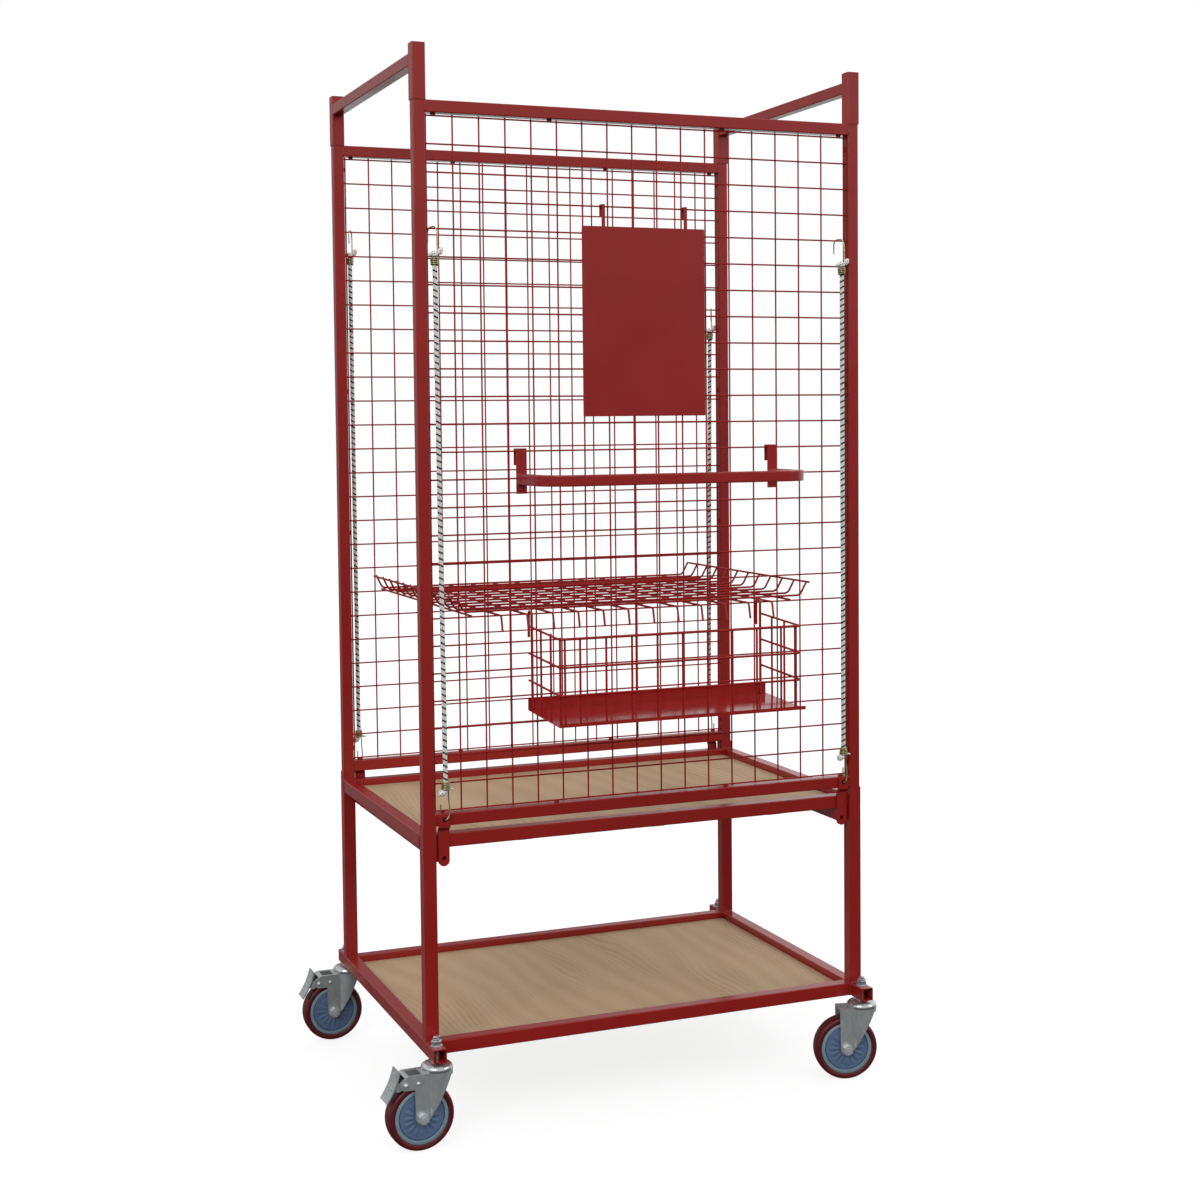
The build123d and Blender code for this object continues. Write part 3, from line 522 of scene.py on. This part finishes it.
BASKET_LEFT, BASKET_RIGHT = -0.243, 0.236
BASKET_BACK = -LEG_Y - 0.006
BASKET_FRONT = BASKET_BACK - 0.160
BASKET_RIM = WIRE_ZERO + 0.328
BASKET_SAG = 0.052
BASKET_WIRE = 2.1 * MM
CORNER_UPRIGHT = 0.0105
basket_middle = (BASKET_LEFT + BASKET_RIGHT) / 2
basket_half = (BASKET_RIGHT - BASKET_LEFT) / 2
corner_upright = basket_half - CORNER_UPRIGHT
front_uprights = [(k - 4) * PITCH for k in range(9)] + [-corner_upright, corner_upright]
pile = Pile()
for level in range(3):
    height = BASKET_RIM - level * PITCH
    for x in front_uprights:
        y = BASKET_FRONT + BASKET_WIRE
        nugget(pile, (basket_middle + x, y, height - (BASKET_BACK - y) * BASKET_SAG), WELD_SIZE)
    for depth in (0.012, 0.058, 0.108):
        y = BASKET_FRONT + depth
        for x in (BASKET_LEFT + BASKET_WIRE, BASKET_RIGHT - BASKET_WIRE):
            nugget(pile, (x, y, height - (BASKET_BACK - y) * BASKET_SAG), WELD_SIZE)
pile.done("basket_welds", "basket", RED, slot="red_paint")


# ---------------------------------------------------------------- elastic cords
CORD_CORE = 4.0 * MM
BRAID_PITCH = 11.7 * MM
BRAID_STEPS = 16
YARN_HALF = 1.50 * MM
DARK_HALF = 1.70 * MM
HOOK_WIRE = 1.3 * MM
FERRULE_LONG = 15.0 * MM
FERRULE_CORE = 5.0 * MM
# corner: side in x, side in y, mesh row of the upper hook, where the dark yarn faces
CORDS = {
    "front_left": (-1, -1, 21, -62.0),
    "front_right": (1, -1, 21, -75.0),
    "back_left": (-1, 1, 22, -60.0),
    "back_right": (1, 1, 19, -72.0),
}


def cord_curve(name, points):
    """Taut cord as one NURBS line, and the points that it really passes through."""
    curve = bpy.data.curves.new(name, "CURVE")
    curve.dimensions = "3D"
    spline = curve.splines.new("NURBS")
    spline.points.add(len(points) - 1)
    for control, point in zip(spline.points, points):
        control.co = (*point, 1.0)
    spline.order_u = 3
    spline.use_endpoint_u = True
    spline.resolution_u = 12
    curve.use_fill_caps = True
    thin = bpy.data.objects.new(f"{name}_line", curve)
    sampled = bpy.data.meshes.new_from_object(thin)
    line = [v.co.copy() for v in sampled.vertices]
    bpy.data.meshes.remove(sampled)
    bpy.data.objects.remove(thin)
    curve.bevel_depth = CORD_CORE
    curve.bevel_resolution = 4
    return curve, line


def even_points(line, step):
    """Points at equal steps along a line of points."""
    gaps = [0.0]
    for a, b in zip(line, line[1:]):
        gaps.append(gaps[-1] + (b - a).length)
    count = int(round(gaps[-1] / step))
    wanted = np.linspace(0, gaps[-1], count + 1)
    columns = [np.interp(wanted, gaps, [p[axis] for p in line]) for axis in range(3)]
    return [Vector(p) for p in zip(*columns)]


def braid(line, hand, facing):
    """Eight flat yarns plaited over the core, four each way round, one of them dark."""
    pile = Pile()
    step = BRAID_PITCH / BRAID_STEPS
    points = even_points(line, step)
    for way in (1, -1):
        for k in range(4):
            dark = way == 1 and k == 0
            half = DARK_HALF if dark else YARN_HALF
            verts, faces = [], []
            for n, point in enumerate(points):
                run = (points[min(n + 1, len(points) - 1)] - points[max(n - 1, 0)]).normalized()
                a = (Vector((1, 0, 0)) - run * run.x).normalized()
                b = a.cross(run) * (1 if run.z < 0 else -1)
                turn = 2 * math.pi * n / BRAID_STEPS
                angle = math.radians(facing) + hand * way * turn + k * math.pi / 2
                over = math.cos(4 * turn) * MM
                lift = 0.26 * MM + 0.08 * over if dark else way * 0.16 * over
                for off, rise in ((-1, -0.02), (0, 0.28), (1, -0.02)):
                    around = angle + hand * way * off * half * 0.413 / CORD_CORE
                    out = a * math.cos(around) + b * math.sin(around)
                    verts.append(point + out * (CORD_CORE + rise * MM + lift) - run * off * half * 0.911)
            for n in range(len(points) - 1):
                for j in (0, 1):
                    faces.append((3 * n + j, 3 * n + j + 1, 3 * n + j + 4, 3 * n + j + 3))
            mark = 2 if dark else 0 if way == 1 else 1
            pile.add(verts, faces, None, mark)
    return pile


def winding(start, run, turns, near, far, wire, tail):
    """Wire wound round the end of a cord, from one radius to another, and led off as its hook."""
    a = (Vector((1, 0, 0)) - run * run.x).normalized()
    b = run.cross(a)
    count = int(turns * 20)
    points = []
    for k in range(count + 1):
        angle = 2 * math.pi * turns * k / count
        wide = (near + (far - near) * k / count) * (1 + 0.04 * math.sin(3.1 * angle / math.pi))
        points.append(start + run * (0.9 * FERRULE_LONG * k / count)
                      + (a * math.cos(angle) + b * math.sin(angle)) * wide)
    return tube(points + tail, [wire] * len(points) + [HOOK_WIRE] * len(tail), 8)


def yarn_blob(pile, centre, size, tilt=0.0):
    """Cut and pinched end of the braid: a lumpy ball with dark flecks."""
    verts, faces, rings, sides = [], [], 14, 20
    lean = Matrix.Rotation(tilt, 3, "Y")
    for ring in range(rings + 1):
        polar = math.pi * ring / rings
        for k in range(sides):
            angle = 2 * math.pi * k / sides
            lump = 1 + 0.07 * math.sin(4 * angle + 7 * polar) + 0.05 * math.cos(5 * angle - 6 * polar)
            local = Vector((size[0] * math.sin(polar) * math.cos(angle),
                            size[1] * math.sin(polar) * math.sin(angle), size[2] * math.cos(polar))) * lump
            verts.append(Vector(centre) + lean @ local)
    start = len(pile.faces)
    for ring in range(rings):
        for k in range(sides):
            a, b = ring * sides, (ring + 1) * sides
            faces.append((a + k, a + (k + 1) % sides, b + (k + 1) % sides, b + k))
    pile.add(verts, faces)
    for n in range(len(faces)):
        ring, k = divmod(n, sides)
        if (ring + k) % 5 == 0 and (ring - k) % 4 < 2:
            pile.marks[start + n] = 2


for corner, (sx, sy, row, facing) in CORDS.items():
    body = "front_panel" if sy < 0 else "back_panel"
    wire = WIRE_ZERO + row * PITCH
    low = Vector((sx * (STRAP_X - 1.5 * MM), sy * (LEG_Y + 17.5 * MM), WIRE_ZERO + 0.055))
    high = Vector((sx * (STRAP_X + 2.5 * MM), sy * (LEG_Y + 10.0 * MM), wire - 0.066))
    curve, line = cord_curve(f"{corner}_cord_core", [high.lerp(low, k / 6) for k in range(7)])
    core = new_object(f"{corner}_cord_core", curve, body, GREY_YARN, slot="braided_cord")
    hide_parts(f"{corner}_cord")
    plait = braid(line, -sx, facing).done(f"{corner}_cord_braid", body, WHITE_YARN, GREY_YARN, BLACK_YARN,
                                          slot="braided_cord")
    up_run = (high - low).normalized()
    ends = Pile()
    top = high + up_run * FERRULE_LONG
    foot = low - up_run * FERRULE_LONG
    # the sleeve under each winding takes the black yarn slot: painted shade in the gaps between the wire
    # turns
    ends.add(*tube([high, top], [FERRULE_CORE] * 2, 16), None, 2)
    ends.add(*tube([low, foot], [FERRULE_CORE] * 2, 16), None, 2)
    yarn_blob(ends, top + Vector((-0.0085, 0.001, 0.0035)), (4.6 * MM, 3.4 * MM, 3.2 * MM), -0.5)
    yarn_blob(ends, top + Vector((-0.001, -0.001, 0.0045)), (6.6 * MM, 5.6 * MM, 5.6 * MM), 0.3)
    yarn_blob(ends, top + Vector((0.0095, -0.001, 0.0100)), (5.2 * MM, 5.0 * MM, 7.2 * MM), 0.5)
    yarn_blob(ends, foot + Vector((-0.0065, -0.001, -0.004)), (8.4 * MM, 5.8 * MM, 6.0 * MM), -0.45)
    yarn_blob(ends, foot + Vector((0.0095, -0.001, 0.002)), (6.0 * MM, 1.9 * MM, 1.8 * MM), 0.15)
    tips = ends.done(f"{corner}_cord_tips", body, WHITE_YARN, GREY_YARN, BLACK_YARN, slot="braided_cord")

    crest = wire + MESH_WIRE + HOOK_WIRE
    shank_x = high.x + 4.6 * MM
    tip = Vector((top.x - 6.5 * MM, top.y - sy * 20 * MM, 0))
    upper = [
        Vector((shank_x, top.y - 0.002, top.z + 0.004)),
        Vector((shank_x, top.y - 0.001, wire - 0.030)),
        Vector((shank_x, top.y, wire - 0.008)),
        Vector((shank_x - 2.0 * MM, top.y - sy * 3 * MM, crest - 0.002)),
        Vector((shank_x - 4.5 * MM, top.y - sy * 8 * MM, crest + 0.0004)),
        Vector((tip.x + 2.0 * MM, tip.y + sy * 4 * MM, crest - 0.001)),
        Vector((tip.x, tip.y + sy * 1 * MM, crest - 0.007)),
        Vector((tip.x, tip.y, crest - 0.016)),
        Vector((tip.x, tip.y, crest - 0.027)),
    ]
    shank_x = low.x + 5.5 * MM
    hole = Vector((sx * STRAP_X, sy * (LEG_Y + POST / 2 + 2 * MM), WIRE_ZERO - 0.015))
    tip = Vector((sx * (STRAP_X + 4.5 * MM), sy * (LEG_Y + 5.2 * MM), WIRE_ZERO))
    lower = [
        Vector((shank_x - 0.001, foot.y - 0.003, foot.z + 0.002)),
        Vector((shank_x, low.y - sy * 1 * MM, WIRE_ZERO + 0.026)),
        Vector((shank_x + 1.5 * MM, low.y, WIRE_ZERO + 0.008)),
        Vector((shank_x + 1.0 * MM, low.y + sy * 0.5 * MM, WIRE_ZERO - 0.006)),
        Vector((hole.x + 3.0 * MM, hole.y + sy * 4.5 * MM, hole.z + 1.2 * MM)),
        hole + Vector((0.6 * MM, sy * 1.0 * MM, 0.0)),
        Vector((hole.x + (tip.x - hole.x) * 0.6, hole.y - sy * 5 * MM, hole.z)),
        Vector((tip.x, tip.y, hole.z + 0.006)),
        tip,
        tip + Vector((0, 0, 0.013)),
    ]
    # turns, winding radius beside the braid and at the hook, radius of the wound wire
    metalwork = Pile()
    metalwork.add(*winding(high, up_run, 4.1, 6.3 * MM, 7.4 * MM, 1.4 * MM, catmull(upper)))
    metalwork.add(*winding(low, -up_run, 4.6, 6.2 * MM, 7.4 * MM, 1.3 * MM, catmull(lower)))
    hooks = metalwork.done(f"{corner}_cord_wire", body, YELLOW, slot="yellow_zinc")
    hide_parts(f"{corner}_cord_hooks")


# ---------------------------------------------------------------- wheels
# radius and half width in millimetres, from the axle out
HUB_PROFILE = [
    (5.08, 17.4), (9.2, 17.4), (10.2, 16.9), (11.6, 14.9), (13.0, 14.3), (15.0, 14.2), (16.5, 14.1),
    (18.0, 14.0), (20.0, 13.9), (23.0, 13.8), (26.0, 13.7), (28.0, 13.6), (30.0, 13.6), (31.5, 13.5),
    (33.0, 13.5), (34.5, 13.5), (36.0, 13.4), (39.0, 13.4), (41.2, 13.4), (42.0, 12.8), (42.2, 10.2),
    (43.3, 10.2), (43.6, 14.0), (44.2, 14.6), (49.4, 14.6), (50.2, 14.0),
]
TREAD_PROFILE = [
    (50.25, 13.2), (50.6, 14.2), (52.0, 15.0), (55.0, 15.6), (57.5, 15.6), (59.4, 14.9), (60.8, 13.6),
    (61.8, 11.6), (62.3, 9.0), (62.5, 6.0), (62.5, 0.9), (62.35, 0.5),
]
RIM_FROM = 42.8
FANS = 16
HUB_STEPS, TREAD_STEPS = 192, 160


def ease(value, start, end):
    t = min(1.0, max(0.0, (value - start) / (end - start)))
    return t * t * (3 - 2 * t)


def hub_mesh():
    """Hub with a rippled cover disc pressed in each side and a lighter rim."""
    verts = []
    profile = HUB_PROFILE + [(r, -y) for r, y in reversed(HUB_PROFILE)]
    steps, count = HUB_STEPS, len(profile)
    for step in range(steps):
        angle = 2 * math.pi * step / steps
        wave = 0.5 + 0.5 * math.cos(FANS * angle)
        for r, y in profile:
            outer = 30.0 + 4.0 * wave
            rise = 1.1 * wave * ease(r, 14.5, 19.0) * (1 - ease(r, outer - 2.0, outer + 0.8))
            lifted = math.copysign(abs(y) + rise, y)
            verts.append((r * MM * math.cos(angle), lifted * MM, r * MM * math.sin(angle)))
    marks = [1 if min(profile[k][0], profile[(k + 1) % count][0]) > RIM_FROM else 0 for k in range(count)]
    return verts, ring_faces(count, steps), marks * steps


for corner, (x, y, turn) in CASTERS.items():
    place = Matrix.Translation((x, y, 0)) @ Matrix.Rotation(math.radians(turn), 4, "Z") \
        @ Matrix.Translation((-TRAIL, 0, AXLE_HEIGHT))
    verts, faces, marks = hub_mesh()
    pile = Pile()
    pile.add(verts, faces, place)
    pile.marks = marks
    hub = pile.done(f"{corner}_hub_body", f"{corner}_wheel", COVER, RIM, slot="hub_plastic")
    hub.data.set_sharp_from_angle(angle=math.radians(38))
    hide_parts(f"{corner}_hub")
    pile = Pile()
    half = [(r * MM, w * MM) for r, w in TREAD_PROFILE]
    pile.add(*lathe(half + [(r, -w) for r, w in reversed(half)], TREAD_STEPS), place)
    tyre = pile.done(f"{corner}_tyre", f"{corner}_wheel", TREAD, slot="tread")
    tyre.data.set_sharp_from_angle(angle=math.radians(50))
    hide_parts(f"{corner}_tread")

# ---------------------------------------------------------------- finish
for name in nodes:
    smooth_cad(name)

scene = bpy.context.scene
scene.view_settings.view_transform = "Standard"
scene.view_settings.look = "None"

FLOOR_HALF = 14.0
floor_corners = [(sx * FLOOR_HALF, sy * FLOOR_HALF, 0) for sx, sy in ((-1, -1), (1, -1), (1, 1), (-1, 1))]
mesh = mesh_from("floor", floor_corners, [(0, 1, 2, 3)], False)
floor = bpy.data.objects.new("floor", mesh)
scene.collection.objects.link(floor)
paper = Paint("floor_paper")
paper.set(Base_Color=(0.30, 0.30, 0.30, 1.0), Roughness=0.9)
paper.set(Emission_Color=(1, 1, 1, 1), Emission_Strength=0.80)
floor.data.materials.append(paper.material)
floor.visible_glossy = False
floor.visible_diffuse = False


DIFFUSE_LIGHT = 1.15
GLOSSY_LIGHT = 0.85


def studio_world():
    """White backdrop for the camera; the object is lit by a room, dark below and bright above.

    Its back is dimmer than its front, apart from a bright wall on the right. Nearer the middle only
    the foot and the top of that wall are bright.
    """
    world = bpy.data.worlds.new("studio")
    world.use_nodes = True
    tree = world.node_tree
    tree.nodes.clear()

    def node(kind, **settings):
        made = tree.nodes.new(kind)
        for key, value in settings.items():
            setattr(made, key, value)
        return made

    def ramp(stops):
        """Light level by height of the direction, from -1 straight down to 1 straight up."""
        made = node("ShaderNodeValToRGB")
        elements = made.color_ramp.elements
        while len(elements) < len(stops):
            elements.new(0.5)
        for element, (place, level) in zip(elements, stops):
            element.position = (place + 1) / 2
            element.color = (level, level, level, 1)
        tree.links.new(lifted.outputs[0], made.inputs[0])
        return made.outputs[0]

    def blend(axis, start, end, before, after):
        """One level of light before start along an axis, another after end."""
        along = node("ShaderNodeMapRange", interpolation_type="SMOOTHSTEP")
        along.inputs["From Min"].default_value = start
        along.inputs["From Max"].default_value = end
        tree.links.new(where.outputs[axis], along.inputs["Value"])
        mixed = node("ShaderNodeMix", data_type="RGBA")
        tree.links.new(along.outputs[0], mixed.inputs[0])
        tree.links.new(before, mixed.inputs[6])
        tree.links.new(after, mixed.inputs[7])
        return mixed.outputs[2]

    rays = node("ShaderNodeLightPath")
    where = node("ShaderNodeSeparateXYZ")
    tree.links.new(node("ShaderNodeTexCoord").outputs["Generated"], where.inputs[0])
    lifted = node("ShaderNodeMapRange")
    lifted.inputs["From Min"].default_value = -1.0
    tree.links.new(where.outputs["Z"], lifted.inputs["Value"])
    front = ramp([(-1.0, 0.03), (-0.25, 0.05), (0.0, 0.22), (0.2, 0.75), (0.42, 1.0), (1.0, 0.45)])
    back = ramp([(-1.0, 0.10), (-0.3, 0.16), (0.0, 0.36), (0.2, 0.50), (0.5, 0.85), (1.0, 0.45)])
    near = ramp([(-1.0, 0.10), (-0.35, 0.16), (-0.2, 0.9), (0.0, 1.2), (0.10, 0.18), (0.42, 0.25),
                 (0.6, 0.9)])
    bright = ramp([(-1.0, 0.10), (-0.35, 0.16), (-0.2, 0.9), (0.0, 1.2), (0.5, 1.0), (1.0, 0.45)])
    wall = blend("X", 0.26, 0.50, near, bright)
    room = blend("Y", -0.35, 0.45, front, blend("X", 0.0, 0.3, back, wall))
    lit = node("ShaderNodeBackground")
    tree.links.new(room, lit.inputs["Color"])
    level = node("ShaderNodeMapRange")
    level.inputs["To Min"].default_value = DIFFUSE_LIGHT
    level.inputs["To Max"].default_value = GLOSSY_LIGHT
    tree.links.new(rays.outputs["Is Glossy Ray"], level.inputs["Value"])
    tree.links.new(level.outputs[0], lit.inputs["Strength"])
    plain = node("ShaderNodeBackground")
    plain.inputs["Color"].default_value = (1, 1, 1, 1)
    plain.inputs["Strength"].default_value = 1.0
    pick = node("ShaderNodeMixShader")
    tree.links.new(rays.outputs["Is Camera Ray"], pick.inputs[0])
    tree.links.new(lit.outputs[0], pick.inputs[1])
    tree.links.new(plain.outputs[0], pick.inputs[2])
    tree.links.new(pick.outputs[0], node("ShaderNodeOutputWorld").inputs[0])
    scene.world = world


def softbox(name, place, aim, size, power):
    light = bpy.data.lights.new(name, "AREA")
    light.shape = "RECTANGLE"
    light.size, light.size_y = size
    light.energy = power
    lamp = bpy.data.objects.new(name, light)
    lamp.location = place
    lamp.rotation_euler = (Vector(aim) - Vector(place)).to_track_quat("-Z", "Y").to_euler()
    scene.collection.objects.link(lamp)


studio_world()
softbox("key_softbox", (-3.2, -3.4, 3.4), (0, 0, 0.9), (2.2, 1.6), 60.0)
softbox("fill_softbox", (3.6, -3.0, 2.4), (0, 0, 0.8), (1.6, 2.0), 22.0)
